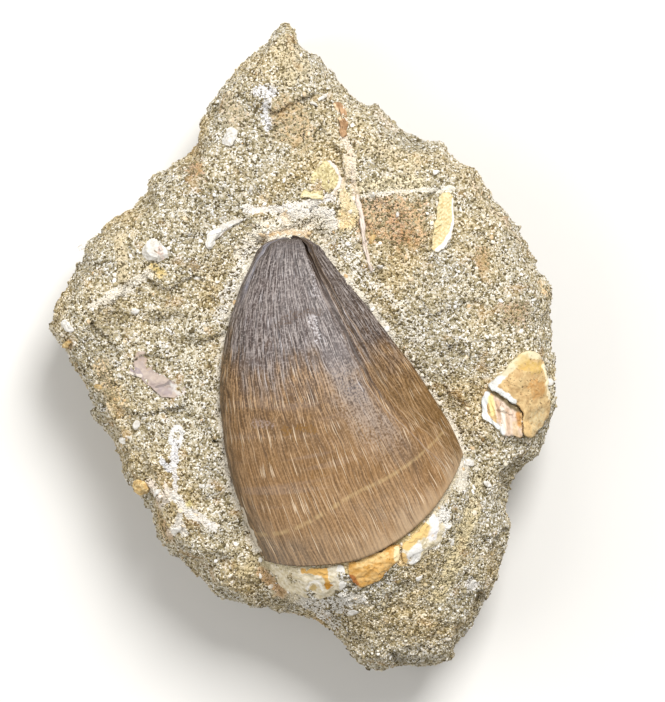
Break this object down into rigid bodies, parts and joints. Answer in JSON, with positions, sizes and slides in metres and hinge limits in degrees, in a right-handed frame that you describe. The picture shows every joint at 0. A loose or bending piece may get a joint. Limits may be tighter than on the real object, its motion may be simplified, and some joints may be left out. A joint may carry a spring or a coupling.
{
  "type": "fossil mosasaur tooth in rock matrix",
  "caption": "Fossil mosasaur tooth crown, blunt and keeled, lying in a rough block of phosphate sand with scraps of shell and bone.",
  "frame": {"origin": "middle of the block's flat back, at the height of the surface it lies on", "axes": "+Z out of the prepared face that shows the tooth, +Y from the crown's base towards its tip, +X to the viewer's right"},
  "size_m": [0.0844, 0.1088, 0.0382],
  "materials": {
    "phosphate_sand": "coarse cemented sand, dull",
    "brown_enamel": "ribbed enamel, satin",
    "ochre_bone": "porous fossil bone, dull",
    "pale_bone": "chalky fossil bone, dull",
    "orange_shell": "pitted fossil shell, dull",
    "yellow_shell": "smooth fossil shell, satin",
    "white_shell": "chalky fossil shell, dull",
    "pink_shell": "thin fossil shell, satin",
    "rust_shell": "rust-stained fossil bone, dull"
  },
  "bodies": {
    "root": {"sand_matrix": "phosphate_sand", "tooth_crown": "brown_enamel", "root_bone_ochre": "ochre_bone", "root_bone_pale": "pale_bone", "root_bone_right": "pale_bone", "shell_plate_upper": "orange_shell", "shell_plate_lower": "orange_shell", "yellow_shell": "yellow_shell", "white_shell_cup": "white_shell", "bone_chip": "pale_bone", "tan_pebble": "ochre_bone", "white_chip_top": "white_shell", "pink_shell": "pink_shell", "curved_white_shell": "white_shell", "rust_sliver": "rust_shell", "long_shell_sliver": "white_shell", "white_chip_left": "white_shell"}
  },
  "joints": []
}
